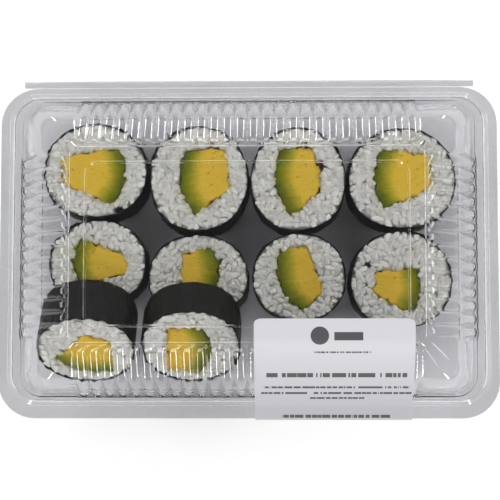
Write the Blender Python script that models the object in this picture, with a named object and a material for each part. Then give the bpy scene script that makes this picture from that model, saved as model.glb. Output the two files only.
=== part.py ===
"""Takeaway sushi pack: a clear ribbed clamshell with a hinged lid, ten cut avocado rolls and a paper label.

All sizes are in millimetres and become metres where a mesh is made. X runs along the pack, Y from its front
edge to the hinge at its back, and Z up from the surface it stands on.
"""

import math
import random
from collections import namedtuple

import bmesh
import bpy
from mathutils import Matrix, Vector

MM = 0.001

# Clear pack
FLANGE_HALF_X = 93.5
FLANGE_HALF_Y = 62.2
SHEET = 0.5
CLEARANCE = 0.3
CORNER_STEPS = 4
RIB_PITCH = 4.88
RIB_WIDTH = 3.3
RIB_DEPTH = 0.9
RIB_END = 1.2
RIBS_ALONG_X = 26
RIBS_ALONG_Y = 14
HOLLOW_SHIFT = 1.3
SHARP_ANGLE = 40
RICE_SHARP_ANGLE = 50

# Living hinge along the back edge
HINGE_HALF_LENGTH = 84.8
HINGE_FRONT_Y = FLANGE_HALF_Y + CLEARANCE
HINGE_AXIS_Y = FLANGE_HALF_Y + 2.1
HINGE_AXIS_Z = 23.75
HINGE_FOLD_RADIUS = 0.65
FOLD_OUTER_TURN = 60
FOLD_OUTER_STEPS = 4
FOLD_INNER_TURN = 90
FOLD_INNER_STEPS = 2

# Paper label
LABEL_LEFT_X = 2.6
LABEL_WIDTH = 58.2
LABEL_THICKNESS = 0.3
LABEL_CORNER = 2.2
LABEL_TOP_Y = -26.0
LABEL_EDGE_Y = -(FLANGE_HALF_Y + 0.6)
LABEL_DROP_Z = 20.6
LABEL_EASE = 0.05

# The pack's outline is centred on the origin, with the hinge and the label's fold at its two ends
PLAN_SHIFT_Y = -(HINGE_AXIS_Y + HINGE_FOLD_RADIUS + LABEL_EDGE_Y - LABEL_THICKNESS) / 2

# Cut rolls
FLOOR_Z = 1.2
ROLL_POINTS = 22
ROUNDNESS = 2.15
FLATTENING = 4.0
THIRD_WAVE = 0.008
FIFTH_WAVE = 0.004
NORI = 0.5
RICE_BELOW_RIM = 0.9
AVOCADO_BELOW_RIM = 0.6
GREEN_POINTS = 5
GREEN_BULGE = 0.16
GRAIN_LENGTH = 5.4
GRAIN_WIDTH = 2.7
GRAIN_HEIGHT = 2.2
GRAIN_SEGMENTS = 5
GRAIN_RINGS = 4
GRAIN_SPACING = 3.6
GRAINS_PER_FACE = 18
GRAIN_TRIES = 1500
GRAIN_EDGE_TESTS = 8
GRAIN_MARGIN = 0.3

Row = namedtuple("Row", "end side z corner ribbed", defaults=(False,))
Wedge = namedtuple("Wedge", "x y width green yellow skew turn")
Roll = namedtuple("Roll", "x y half_x back front length lean_x lean_y wedge tilt", defaults=(0.0,))

# Sections of the sheet from the flange's outer edge inwards: the tray's upper face and the lid's lower face.
# Each row is set in from the flange's edge by one distance at the pack's ends and another along its sides.
# All rows but the flange's edge sit a little nearer to the hinge than the pack's middle.
TRAY_SECTION = [
    Row(0.0, 0.0, 23.6, 14.0),
    Row(4.6, 4.6, 23.6, 10.5),
    Row(5.4, 5.4, 25.4, 10.0),
    Row(8.4, 6.9, 25.4, 8.0),
    Row(9.4, 7.6, 23.0, 7.5),
    Row(9.9, 7.9, 20.0, 7.5, True),
    Row(12.2, 9.1, 3.4, 8.0, True),
    Row(13.3, 10.1, 0.5, 8.0),
    Row(52.4, 48.6, 0.5, 5.0),
    Row(53.0, 49.2, 0.9, 4.6),
]
LID_SECTION = [
    Row(0.0, 0.0, 23.9, 14.0),
    Row(4.2, 4.2, 23.9, 10.8),
    Row(5.0, 5.0, 25.7, 10.2),
    Row(10.6, 8.6, 25.7, 7.0),
    Row(11.5, 9.4, 27.4, 6.5, True),
    Row(15.8, 13.2, 34.0, 6.5, True),
    Row(26.8, 24.6, 42.2, 3.4, True),
    Row(28.9, 26.6, 44.2, 3.4),
    Row(34.1, 31.8, 44.2, 4.4),
    Row(34.8, 32.5, 43.2, 4.0),
]

# Eight rolls stand cut face up in two rows of four, and two lean back against the second row.
# A roll's place is the middle of its cut face if it stands, and of its lower rim if it leans.
ROLLS = [
    Roll(-58.5, 31.4, 19.8, 18.2, 17.9, 17.2, -0.8, 0.8, Wedge(-0.8, -1.0, 25.0, 22.5, 10.0, 0.5, -7)),
    Roll(-19.1, 28.5, 19.0, 20.3, 20.2, 16.9, -0.2, 1.2, Wedge(2.2, -0.8, 19.0, 25.5, 15.0, -3.5, 188)),
    Roll(18.8, 28.0, 18.3, 20.0, 19.8, 17.2, 0.2, 0.6, Wedge(-0.4, -0.4, 17.0, 26.0, 17.0, -3.0, 190)),
    Roll(58.2, 28.2, 20.6, 19.4, 19.2, 16.6, 0.9, 0.5, Wedge(0.4, 0.4, 22.5, 23.0, 12.5, -2.0, 182)),
    Roll(-57.4, -3.5, 18.6, 16.5, 14.6, 16.0, -0.4, 0.9, Wedge(0.6, 0.6, 20.5, 18.0, 7.0, 1.5, 180)),
    Roll(-19.2, -9.6, 19.1, 17.1, 11.6, 15.6, -0.1, 1.3, Wedge(0.8, 1.6, 14.5, 21.5, 17.0, -1.0, -4)),
    Roll(19.2, -9.2, 17.9, 16.8, 16.8, 17.2, 0.2, 0.0, Wedge(-0.4, -0.6, 15.0, 25.0, 18.0, -1.5, 202)),
    Roll(57.6, -10.3, 19.3, 18.6, 18.2, 16.8, 0.8, -0.2, Wedge(-1.2, -3.2, 17.5, 17.5, 9.0, 1.0, -8)),
    Roll(-60.3, -33.2, 18.3, 17.0, 17.0, 21.0, 0.0, 0.0, Wedge(0.0, -2.2, 19.0, 22.0, 10.0, 2.0, 252), 48.0),
    Roll(-21.3, -36.8, 18.5, 18.0, 18.0, 17.0, 0.0, 0.0, Wedge(-0.8, -2.0, 16.5, 23.0, 21.0, 0.5, -4), 45.0),
]


def clear_scene():
    """Removes whatever the file held before."""
    for old in list(bpy.data.objects):
        bpy.data.objects.remove(old)


def make_material(name, colour, roughness, alpha=1.0):
    """A Principled material of one colour."""
    material = bpy.data.materials.new(name)
    material.use_nodes = True
    shader = material.node_tree.nodes["Principled BSDF"]
    shader.inputs["Base Color"].default_value = (*colour, 1.0)
    shader.inputs["Roughness"].default_value = roughness
    shader.inputs["Metallic"].default_value = 0.0
    shader.inputs["Alpha"].default_value = alpha
    return material


def add_object(name, mesh, material, parent, smooth=True):
    """Links an object made from a closed mesh, shaded smooth except at its sharp edges."""
    mesh.materials.append(material)
    if smooth:
        mesh.shade_smooth()
        mesh.set_sharp_from_angle(angle=math.radians(SHARP_ANGLE))
    made = bpy.data.objects.new(name, mesh)
    bpy.context.scene.collection.objects.link(made)
    made.parent = parent
    return made


def add_empty(name, parent=None):
    """An empty that carries a group of pieces."""
    empty = bpy.data.objects.new(name, None)
    bpy.context.scene.collection.objects.link(empty)
    empty.parent = parent
    return empty


def mesh_from(bm, name):
    """Turns every face outwards and makes the mesh."""
    bmesh.ops.recalc_face_normals(bm, faces=bm.faces)
    mesh = bpy.data.meshes.new(name)
    bm.to_mesh(mesh)
    bm.free()
    return mesh


def apply_modifiers(target):
    """Bakes the object's modifiers into its mesh."""
    bpy.context.view_layer.update()
    seen = target.evaluated_get(bpy.context.evaluated_depsgraph_get())
    baked = bpy.data.meshes.new_from_object(seen)
    target.modifiers.clear()
    target.data = baked


def offset_section(section, thickness, side):
    """The sheet's other face, moved by the thickness along the section's normal: side 1 is up, -1 is down."""
    moved = []
    for i, row in enumerate(section):
        normals = []
        for a, b in ((i - 1, i), (i, i + 1)):
            if 0 <= a and b < len(section):
                step = Vector((section[b].end - section[a].end, section[b].z - section[a].z)).normalized()
                normals.append(Vector((-step.y, step.x)) * side)
        mitre = sum(normals, Vector((0, 0)))
        mitre *= thickness / (1 + normals[0].dot(normals[-1])) if len(normals) == 2 else thickness
        flat_end = i in (0, len(section) - 1)
        shift = Vector((0, thickness * side)) if flat_end else mitre
        end, side_inset = row.end + shift.x, row.side + shift.x
        moved.append(Row(end, side_inset, row.z + shift.y, row.corner - shift.x, row.ribbed))
    return moved


def rib_feet(side, count, half_x, half_y, z):
    """The two foot points of each rib on one side of a ring, in the ring's direction of travel."""
    along_y = side in (0, 2)
    sign = 1 if side in (0, 3) else -1
    feet = []
    for i in range(count):
        middle = (i - (count - 1) / 2) * RIB_PITCH * sign
        pair = []
        for reach in (-RIB_WIDTH / 2, RIB_WIDTH / 2):
            run = middle + reach * sign
            pair.append(Vector((half_x * sign, run, z)) if along_y else Vector((run, -half_y * sign, z)))
        feet.append(pair)
    return feet


def row_shift(row):
    """How far a row's ring sits towards the hinge: the flange's edge stays in the middle."""
    return HOLLOW_SHIFT if row.side else 0.0


def make_ring(bm, row, ribs):
    """One rounded rectangle of the shell: four corner arcs and, on a ribbed row, the ribs' feet between them."""
    half_x, half_y = FLANGE_HALF_X - row.end, FLANGE_HALF_Y - row.side
    shift = Vector((0.0, row_shift(row), 0.0))
    corners, sides = [], []
    for k in range(4):
        sign_x, sign_y = ((1, -1), (1, 1), (-1, 1), (-1, -1))[k]
        arc = []
        for i in range(CORNER_STEPS + 1):
            turn = math.radians(90 * (k - 1) + 90 * i / CORNER_STEPS)
            x = sign_x * (half_x - row.corner) + row.corner * math.cos(turn)
            y = sign_y * (half_y - row.corner) + row.corner * math.sin(turn)
            arc.append(bm.verts.new((Vector((x, y, row.z)) + shift) * MM))
        corners.append(arc)
        feet = []
        if row.ribbed and ribs:
            count = RIBS_ALONG_Y if k in (0, 2) else RIBS_ALONG_X
            feet = rib_feet(k, count, half_x, half_y, row.z)
        sides.append([[bm.verts.new((p + shift) * MM) for p in pair] for pair in feet])
    return corners, sides


def side_chain(ring, k):
    """Every point of side k of a ring, from the end of one corner to the start of the next."""
    corners, sides = ring
    return [corners[k][-1], *[v for pair in sides[k] for v in pair], corners[(k + 1) % 4][0]]


def fan_strip(bm, near, far):
    """Joins two chains in one plane, one of which may have only its two ends."""
    if len(near) > len(far):
        near, far = far, near
    if len(near) == len(far):
        for i in range(len(near) - 1):
            bm.faces.new((near[i], near[i + 1], far[i + 1], far[i]))
        return
    middle = len(far) // 2
    for i in range(middle):
        bm.faces.new((near[0], far[i + 1], far[i]))
    bm.faces.new((near[0], near[1], far[middle]))
    for i in range(middle, len(far) - 1):
        bm.faces.new((near[1], far[i + 1], far[i]))


def corner_strips(bm, ring, after):
    """The four corner patches between two rings."""
    for arc, other in zip(ring[0], after[0]):
        for i in range(CORNER_STEPS):
            bm.faces.new((arc[i], arc[i + 1], other[i + 1], other[i]))


def rib_crest(feet, outward):
    """The raised line of a rib over its feet on each row, pulled in at its two ends."""
    middles = [(pair[0].co + pair[1].co) / 2 for pair in feet]
    across = (feet[0][1].co - feet[0][0].co).normalized()
    steps = [(b - a).normalized() for a, b in zip(middles, middles[1:])]
    normals = []
    for step in steps:
        normal = across.cross(step)
        normals.append(normal if normal.dot(outward) > 0 else -normal)
    crest = [middles[0] + steps[0] * RIB_END * MM + normals[0] * RIB_DEPTH * MM]
    for i in range(1, len(middles) - 1):
        blend = (normals[i - 1] + normals[i]).normalized()
        crest.append(middles[i] + blend * RIB_DEPTH * MM)
    crest.append(middles[-1] - steps[-1] * RIB_END * MM + normals[-1] * RIB_DEPTH * MM)
    return crest


def rib_band(bm, rings):
    """The ribbed part of the wall: flat valleys between ribs with sloping flanks and closed ends."""
    for ring, after in zip(rings, rings[1:]):
        corner_strips(bm, ring, after)
    for k in range(4):
        outward = Vector(((1, 0, 0), (0, 1, 0), (-1, 0, 0), (0, -1, 0))[k])
        for ring, after in zip(rings, rings[1:]):
            low, high = side_chain(ring, k), side_chain(after, k)
            for i in range(0, len(low), 2):
                bm.faces.new((low[i], low[i + 1], high[i + 1], high[i]))
        for i in range(len(rings[0][1][k])):
            feet = [ring[1][k][i] for ring in rings]
            crest = [bm.verts.new(p) for p in rib_crest(feet, outward)]
            bm.faces.new((feet[0][0], feet[0][1], crest[0]))
            bm.faces.new((feet[-1][1], feet[-1][0], crest[-1]))
            for j in range(len(feet) - 1):
                bm.faces.new((feet[j][0], crest[j], crest[j + 1], feet[j + 1][0]))
                bm.faces.new((crest[j], feet[j][1], feet[j + 1][1], crest[j + 1]))


def make_skin(bm, section, ribs):
    """One face of the sheet from the flange's edge to its flat middle. Returns the outermost ring."""
    rings = [make_ring(bm, row, ribs) for row in section]
    i = 0
    while i < len(rings) - 1:
        last = i
        while ribs and last + 1 < len(rings) and section[i].ribbed and section[last + 1].ribbed:
            last += 1
        if last > i:
            rib_band(bm, rings[i : last + 1])
            i = last
            continue
        corner_strips(bm, rings[i], rings[i + 1])
        for k in range(4):
            fan_strip(bm, side_chain(rings[i], k), side_chain(rings[i + 1], k))
        i += 1
    bm.faces.new([v for arc in rings[-1][0] for v in arc])
    return rings[0]


def make_shell(name, section, side, material, parent):
    """A thermoformed sheet: a plain inner face, a ribbed outer face and the cut edge between them."""
    bm = bmesh.new()
    inner = make_skin(bm, section, False)
    outer = make_skin(bm, offset_section(section, SHEET, side), True)
    corner_strips(bm, inner, outer)
    for k in range(4):
        fan_strip(bm, side_chain(inner, k), side_chain(outer, k))
    return add_object(name, mesh_from(bm, name), material, parent)


def extrude_section(name, points, x_low, x_high, material, parent):
    """A bar along X with the given closed section of (y, z) points."""
    bm = bmesh.new()
    ends = []
    for x in (x_low, x_high):
        ends.append([bm.verts.new(Vector((x, y, z)) * MM) for y, z in points])
    for i in range(len(points)):
        j = (i + 1) % len(points)
        bm.faces.new((ends[0][i], ends[0][j], ends[1][j], ends[1][i]))
    bm.faces.new(ends[0])
    bm.faces.new(ends[1])
    return add_object(name, mesh_from(bm, name), material, parent)


def make_hinge(material, parent):
    """The folded strip that joins tray and lid: two leaves and the round fold between them."""
    low, high = TRAY_SECTION[0].z, LID_SECTION[0].z
    outer, inner = HINGE_FOLD_RADIUS, (high - low) / 2
    section = [(HINGE_FRONT_Y, low - SHEET), (HINGE_AXIS_Y, HINGE_AXIS_Z - outer)]
    section += arc_points(HINGE_AXIS_Y, HINGE_AXIS_Z, outer, -FOLD_OUTER_TURN, FOLD_OUTER_TURN, FOLD_OUTER_STEPS)
    section += [(HINGE_AXIS_Y, HINGE_AXIS_Z + outer), (HINGE_FRONT_Y, high + SHEET), (HINGE_FRONT_Y, high)]
    section += arc_points(HINGE_AXIS_Y, HINGE_AXIS_Z, inner, FOLD_INNER_TURN, -FOLD_INNER_TURN, FOLD_INNER_STEPS)
    section += [(HINGE_FRONT_Y, low)]
    return extrude_section("hinge_strip", section, -HINGE_HALF_LENGTH, HINGE_HALF_LENGTH, material, parent)


def arc_points(y, z, radius, start, end, steps):
    """Points of an arc in the YZ plane, with both ends, in degrees from +Y."""
    turns = [math.radians(start + (end - start) * i / steps) for i in range(steps + 1)]
    return [(y + radius * math.cos(t), z + radius * math.sin(t)) for t in turns]


def section_point(row):
    """A section row's place on the pack's front side, as (y, z)."""
    return Vector((row.side - FLANGE_HALF_Y + row_shift(row), row.z))


def label_path():
    """The label's lower face as (y, z) from its top edge, over the rib crests and flange, to its folded end."""
    bead, kink, shoulder, top = (section_point(LID_SECTION[i]) for i in (2, 5, 6, 7))
    lift = Vector((0.0, SHEET + CLEARANCE))
    slope = (kink - shoulder).normalized()
    over_ribs = Vector((slope.y, -slope.x)) * (SHEET + RIB_DEPTH + CLEARANCE)
    edge_z = LID_SECTION[0].z + lift.y
    level = top.y + lift.y
    return [
        (LABEL_TOP_Y, level),
        (LABEL_TOP_Y - LABEL_CORNER / 3, level),
        (LABEL_TOP_Y - LABEL_CORNER, level),
        (top.x - CLEARANCE / 2, level),
        tuple(shoulder + slope * RIB_END + over_ribs),
        tuple(kink + over_ribs * (1 + LABEL_EASE)),
        tuple(bead + lift + Vector((-SHEET, LABEL_EASE))),
        (LABEL_EDGE_Y + SHEET, edge_z + LABEL_EASE),
        (LABEL_EDGE_Y, edge_z - SHEET),
        (LABEL_EDGE_Y, LABEL_DROP_Z),
    ]


def make_label(material, parent):
    """A paper strip bent over the lid's front, with its two top corners rounded."""
    path = label_path()
    bm = bmesh.new()
    rows = []
    for i, (y, z) in enumerate(path):
        before, after = path[max(i - 1, 0)], path[min(i + 1, len(path) - 1)]
        run = Vector((after[0] - before[0], after[1] - before[1])).normalized()
        normal = Vector((run.y, -run.x))
        from_end = min(LABEL_TOP_Y - y, LABEL_CORNER)
        trim = LABEL_CORNER - math.sqrt(max(0.0, LABEL_CORNER**2 - (LABEL_CORNER - from_end) ** 2))
        points = []
        for x in (LABEL_LEFT_X + trim, LABEL_LEFT_X + LABEL_WIDTH - trim):
            for raised in (0.0, LABEL_THICKNESS):
                points.append(bm.verts.new(Vector((x, y + normal.x * raised, z + normal.y * raised)) * MM))
        rows.append(points)
    for a, b in zip(rows, rows[1:]):
        for i, j in ((0, 1), (1, 3), (3, 2), (2, 0)):
            bm.faces.new((a[i], a[j], b[j], b[i]))
    bm.faces.new([rows[0][i] for i in (0, 1, 3, 2)])
    bm.faces.new([rows[-1][i] for i in (0, 1, 3, 2)])
    return add_object("label", mesh_from(bm, "label"), material, parent)


def roll_outline(roll, inset, seed):
    """A roll's uneven round, moved in by a distance: two half ovals with slight waves, squarer where flat."""
    rng = random.Random(seed)
    third, fifth = rng.uniform(0, 2 * math.pi), rng.uniform(0, 2 * math.pi)
    points = []
    for i in range(ROLL_POINTS):
        turn = 2 * math.pi * i / ROLL_POINTS
        half_y = roll.back if math.sin(turn) > 0 else roll.front
        power = ROUNDNESS + FLATTENING * max(0.0, 1 - half_y / roll.back)
        across, along = abs(math.cos(turn) / roll.half_x), abs(math.sin(turn) / half_y)
        oval = (across**power + along**power) ** (-1 / power)
        wave = THIRD_WAVE * (math.cos(3 * turn + third) - 1) + FIFTH_WAVE * (math.cos(5 * turn + fifth) - 1)
        radius = oval * (1 + wave) - inset
        points.append(Vector((radius * math.cos(turn), radius * math.sin(turn))))
    return points


def wedge_outline(wedge, grow=0.0):
    """An avocado wedge in section: a narrow yellow end, set to one side, and a wide bulging green side."""
    bulge = wedge.green * GREEN_BULGE
    points = []
    for side in (1, -1):
        points.append(Vector((-wedge.width / 2 - grow, wedge.skew + side * (wedge.yellow / 2 + grow))))
    for i in range(GREEN_POINTS):
        t = -1 + 2 * i / (GREEN_POINTS - 1)
        points.append(Vector((wedge.width / 2 + grow - bulge * t * t, t * (wedge.green / 2 + grow))))
    turn = Matrix.Rotation(math.radians(wedge.turn), 2)
    return [turn @ p + Vector((wedge.x, wedge.y)) for p in points]


def leaning_loop(bm, outline, z, roll):
    """A loop of points at one height of a roll, which leans about the middle of its cut face."""
    share = z / roll.length - 1
    shift = Vector((roll.lean_x, roll.lean_y)) * share
    return [bm.verts.new(Vector((*(p + shift), z)) * MM) for p in outline]


def prism(bm, outline, low, high, roll):
    """A closed upright prism over an outline, leaning as its roll leans."""
    levels = [leaning_loop(bm, outline, z, roll) for z in (low, high)]
    for i in range(len(outline)):
        j = (i + 1) % len(outline)
        bm.faces.new((levels[0][i], levels[0][j], levels[1][j], levels[1][i]))
    bm.faces.new(levels[0])
    bm.faces.new(levels[1])


def make_nori(name, roll, seed, material, parent):
    """The seaweed wrap: a thin tube that stands a little proud of the rice."""
    bm = bmesh.new()
    loops = []
    for inset in (0.0, NORI):
        outline = roll_outline(roll, inset, seed)
        for z in (0.0, roll.length):
            loops.append(leaning_loop(bm, outline, z, roll))
    for a, b in ((0, 1), (1, 3), (3, 2), (2, 0)):
        for i in range(ROLL_POINTS):
            j = (i + 1) % ROLL_POINTS
            bm.faces.new((loops[a][i], loops[a][j], loops[b][j], loops[b][i]))
    return add_object(name, mesh_from(bm, name), material, parent)


def inside(point, outline):
    """True if a point is inside a closed outline that runs counter-clockwise and is convex."""
    for a, b in zip(outline, [*outline[1:], outline[0]]):
        if (b - a).cross(point - a) < 0:
            return False
    return True


def grain_places(roll, seed):
    """Where rice grains lie on the cut face: seeded tries, kept if clear of wrap, avocado and each other."""
    rng = random.Random(1000 + seed)
    rim = roll_outline(roll, NORI + CLEARANCE + GRAIN_MARGIN, seed)
    hole = wedge_outline(roll.wedge, CLEARANCE + GRAIN_MARGIN)
    places = []
    for _ in range(GRAIN_TRIES):
        if len(places) == GRAINS_PER_FACE:
            break
        middle = Vector((rng.uniform(-1, 1) * roll.half_x, rng.uniform(-roll.front, roll.back)))
        turn = rng.uniform(0, math.pi)
        along = Vector((math.cos(turn), math.sin(turn))) * GRAIN_LENGTH / 2
        across = Vector((-math.sin(turn), math.cos(turn))) * GRAIN_WIDTH / 2
        turns = [2 * math.pi * i / GRAIN_EDGE_TESTS for i in range(GRAIN_EDGE_TESTS)]
        edge = [middle + math.cos(t) * along + math.sin(t) * across for t in turns]
        if not all(inside(p, rim) and not inside(p, hole) for p in [middle, *edge]):
            continue
        if all((middle - other[0]).length > GRAIN_SPACING for other in places):
            places.append((middle, turn))
    return places


def make_grain(roll, middle, turn):
    """One cooked grain, half sunk in the cut face, as a coarse ellipsoid."""
    bm = bmesh.new()
    bmesh.ops.create_uvsphere(bm, u_segments=GRAIN_SEGMENTS, v_segments=GRAIN_RINGS, radius=0.5)
    place = Matrix.Translation(Vector((*middle, roll.length - RICE_BELOW_RIM)) * MM)
    size = Matrix.Diagonal((GRAIN_LENGTH * MM, GRAIN_WIDTH * MM, GRAIN_HEIGHT * MM, 1.0))
    lying = Matrix.Rotation(math.pi / 2, 4, "Y")
    bmesh.ops.transform(bm, matrix=place @ Matrix.Rotation(turn, 4, "Z") @ size @ lying, verts=bm.verts)
    return mesh_from(bm, "grain")


def make_rice(name, roll, seed, material, parent):
    """The rice: a block with a hole for the avocado, and grains fused to its cut face by one union."""
    top = roll.length - RICE_BELOW_RIM
    bm = bmesh.new()
    prism(bm, roll_outline(roll, NORI + CLEARANCE, seed), 0.0, top, roll)
    rice = add_object(name, mesh_from(bm, name), material, parent, smooth=False)
    bm = bmesh.new()
    prism(bm, wedge_outline(roll.wedge, CLEARANCE), -2.0, top + 2.0, roll)
    hole = add_object(name + "_hole", mesh_from(bm, name + "_hole"), material, parent, smooth=False)
    cut = rice.modifiers.new("avocado_hole", "BOOLEAN")
    cut.operation, cut.solver, cut.object = "DIFFERENCE", "EXACT", hole
    apply_modifiers(rice)
    bpy.data.objects.remove(hole)

    grains = bpy.data.collections.new(name + "_grains")
    bpy.context.scene.collection.children.link(grains)
    for middle, turn in grain_places(roll, seed):
        grain = bpy.data.objects.new("grain", make_grain(roll, middle, turn))
        grain.parent = parent
        grains.objects.link(grain)
    fuse = rice.modifiers.new("fused_grains", "BOOLEAN")
    fuse.operation, fuse.solver, fuse.operand_type, fuse.collection = "UNION", "EXACT", "COLLECTION", grains
    apply_modifiers(rice)
    for grain in list(grains.objects):
        bpy.data.objects.remove(grain)
    bpy.data.collections.remove(grains)
    rice.data.shade_smooth()
    rice.data.set_sharp_from_angle(angle=math.radians(RICE_SHARP_ANGLE))
    return rice


def make_avocado(name, roll, material, parent):
    """The avocado wedge, which runs through the roll."""
    bm = bmesh.new()
    prism(bm, wedge_outline(roll.wedge), 0.0, roll.length - AVOCADO_BELOW_RIM, roll)
    return add_object(name, mesh_from(bm, name), material, parent)


def make_roll(index, roll, materials, pack):
    """One cut piece in its own frame, cut face up, then stood on the floor or tilted to the front."""
    frame = add_empty(f"roll_{index:02d}", pack)
    tilt = math.radians(roll.tilt)
    rim = Vector((0.0, math.cos(tilt), math.sin(tilt))) * (roll.front if roll.tilt else 0.0)
    frame.location = (Vector((roll.x, roll.y, FLOOR_Z)) + rim) * MM
    frame.rotation_euler = (tilt, 0.0, 0.0)
    make_nori(f"roll_{index:02d}_nori", roll, index, materials["nori"], frame)
    make_rice(f"roll_{index:02d}_rice", roll, index, materials["rice"], frame)
    make_avocado(f"roll_{index:02d}_avocado", roll, materials["avocado"], frame)


def main():
    clear_scene()
    materials = {
        "clear": make_material("clear_plastic", (0.86, 0.87, 0.88), 0.08, 0.3),
        "paper": make_material("label_paper", (0.80, 0.80, 0.82), 0.6),
        "nori": make_material("nori", (0.012, 0.014, 0.012), 0.45),
        "rice": make_material("rice", (0.72, 0.71, 0.66), 0.4),
        "avocado": make_material("avocado", (0.62, 0.46, 0.07), 0.45),
    }
    pack = add_empty("pack")
    pack.location = Vector((0.0, PLAN_SHIFT_Y, 0.0)) * MM
    make_shell("tray", TRAY_SECTION, -1, materials["clear"], pack)
    make_hinge(materials["clear"], pack)
    lid_axis = add_empty("lid_axis", pack)
    lid_axis.location = Vector((0.0, HINGE_AXIS_Y, HINGE_AXIS_Z)) * MM
    lid_frame = add_empty("lid_frame", lid_axis)
    lid_frame.location = -lid_axis.location
    make_shell("lid", LID_SECTION, 1, materials["clear"], lid_frame)
    make_label(materials["paper"], lid_frame)
    for index, roll in enumerate(ROLLS, start=1):
        make_roll(index, roll, materials, pack)


main()
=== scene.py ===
"""Dresses a takeaway sushi tray: clear ribbed clamshell, ten cut avocado rolls and a folded paper label.

Lengths in the tables and formulas are millimetres; they become metres when a mesh is made.
"""

import math
from collections import namedtuple

import bpy
import numpy as np
from mathutils import Matrix, Vector


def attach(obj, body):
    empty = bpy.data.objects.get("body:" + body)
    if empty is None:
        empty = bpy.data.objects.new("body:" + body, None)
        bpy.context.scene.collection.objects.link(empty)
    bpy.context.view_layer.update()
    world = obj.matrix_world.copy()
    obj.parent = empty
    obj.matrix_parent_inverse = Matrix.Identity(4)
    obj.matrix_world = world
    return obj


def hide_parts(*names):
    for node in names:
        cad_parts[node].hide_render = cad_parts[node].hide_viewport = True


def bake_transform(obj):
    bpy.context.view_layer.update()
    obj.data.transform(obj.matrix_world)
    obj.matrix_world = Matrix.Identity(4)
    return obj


bl_info = {
    "name": "Takeaway Sushi Tray",
    "version": (1, 0, 0),
    "blender": (4, 5, 0),
    "location": "View3D > Sidebar > Sushi Tray",
    "description": "Makes a clear clamshell of cut avocado rolls with a folded label, and its stage",
    "category": "Object",
}

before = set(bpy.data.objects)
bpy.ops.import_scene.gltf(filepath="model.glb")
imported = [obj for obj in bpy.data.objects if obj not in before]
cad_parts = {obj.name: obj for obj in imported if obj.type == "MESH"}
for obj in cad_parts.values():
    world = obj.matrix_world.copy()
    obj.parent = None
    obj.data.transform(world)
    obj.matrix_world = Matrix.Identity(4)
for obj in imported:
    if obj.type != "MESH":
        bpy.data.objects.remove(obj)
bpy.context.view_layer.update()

MM = 0.001
TAU = 2 * math.pi

# The clear sheet: its flange, its two skins, how far its hollow sits towards the hinge, and its ribs
FLANGE_HALF_X = 93.5
FLANGE_HALF_Y = 62.2
PLAN_SHIFT_Y = -0.925
SHEET_INNER = 0.075
SHEET_OUTER = 0.425
HOLLOW_SHIFT = 1.3
RIB_PITCH = 4.88
RIBS_ALONG_X = 26
RIBS_ALONG_Y = 14
RIB_RAMP = 2.2
RIB_OVERRUN = 0.9
FOOT_FLARE = 0.8
# Where the wall's normal leans out less than this, ribs are pushed straight out
FLAT_NORMAL = 0.35
# The sheet's grid: points on a bend, across a rib and round a corner, and the largest and least step of rows
BEND_POINTS = 5
RIB_POINTS = 8
CORNER_POINTS = 13
ROW_STEP = 3.5
LEAST_ROW_STEP = 0.06
SHARP_ANGLE = math.radians(50)

# The hinge's fold, and how far the film reaches to each side
FOLD_RADIUS = 0.42
FOLD_LEVEL = 23.75
FOLD_HALF_LENGTH = 84.8

# A wrap is wider than its solid's outline; its overlap stands out further, and it stays above the tray's floor
OUTLINE_POINTS = 360
WRAP_SOFTNESS = 1.6
SLICE_SOFTNESS = 0.75
WRAP_GROWTH = 0.22
WRAP_THICKNESS = 0.36
OVERLAP_STEP = 0.42
FLOOR_TOP = 1.05

# Rice: how far its core is set in and its holes are sunk, how far grains start from rim and slice, how far they
# stay inside the rim and may reach over the slice's edge, and their layers as (depth, wider spacing)
CORE_INSET = 0.2
HOLE_DEPTH = 3.2
GRAIN_RIM_GAP = 0.9
GRAIN_SLICE_GAP = 0.7
RIM_CLEARANCE = 0.12
SLICE_REACH = 0.75
GRAIN_LAYERS = ((1.15, 1.0), (1.9, 1.2))

# Sections of the sheet's inner face from the flange's edge inwards: set in along the ends, set in along the
# sides, height, corner radius, and how far the bend there is rounded
TRAY_ROWS = [
    (0.0, 0.0, 23.6, 14.0, 0.0),
    (4.6, 4.6, 23.6, 10.5, 0.5),
    (5.4, 5.4, 25.4, 10.0, 0.7),
    (8.4, 6.9, 25.4, 8.0, 0.9),
    (9.4, 7.6, 23.0, 7.5, 1.1),
    (9.9, 7.9, 20.0, 7.5, 0.8),
    (12.2, 9.1, 3.4, 8.0, 1.4),
    (13.3, 10.1, 0.5, 8.0, 1.4),
    (52.4, 48.6, 0.5, 5.0, 0.5),
    (53.2, 49.4, 1.1, 4.6, 0.5),
    (54.2, 50.4, 1.1, 4.2, 0.0),
]
LID_ROWS = [
    (0.0, 0.0, 24.15, 14.0, 0.0),
    (1.6, 1.6, 23.9, 12.4, 0.5),
    (3.7, 3.7, 23.9, 10.8, 0.6),
    (5.1, 5.1, 25.7, 10.2, 0.8),
    (10.6, 8.6, 25.7, 7.0, 0.35),
    (11.5, 9.4, 27.4, 6.5, 0.5),
    (15.8, 13.2, 34.0, 6.5, 3.0),
    (26.8, 24.6, 42.2, 3.4, 0.6),
    (28.9, 26.6, 44.2, 3.4, 0.45),
    (34.1, 31.8, 44.2, 5.0, 0.35),
    (34.8, 32.5, 43.2, 4.6, 0.35),
    (36.1, 33.8, 43.2, 4.2, 0.0),
]

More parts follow.
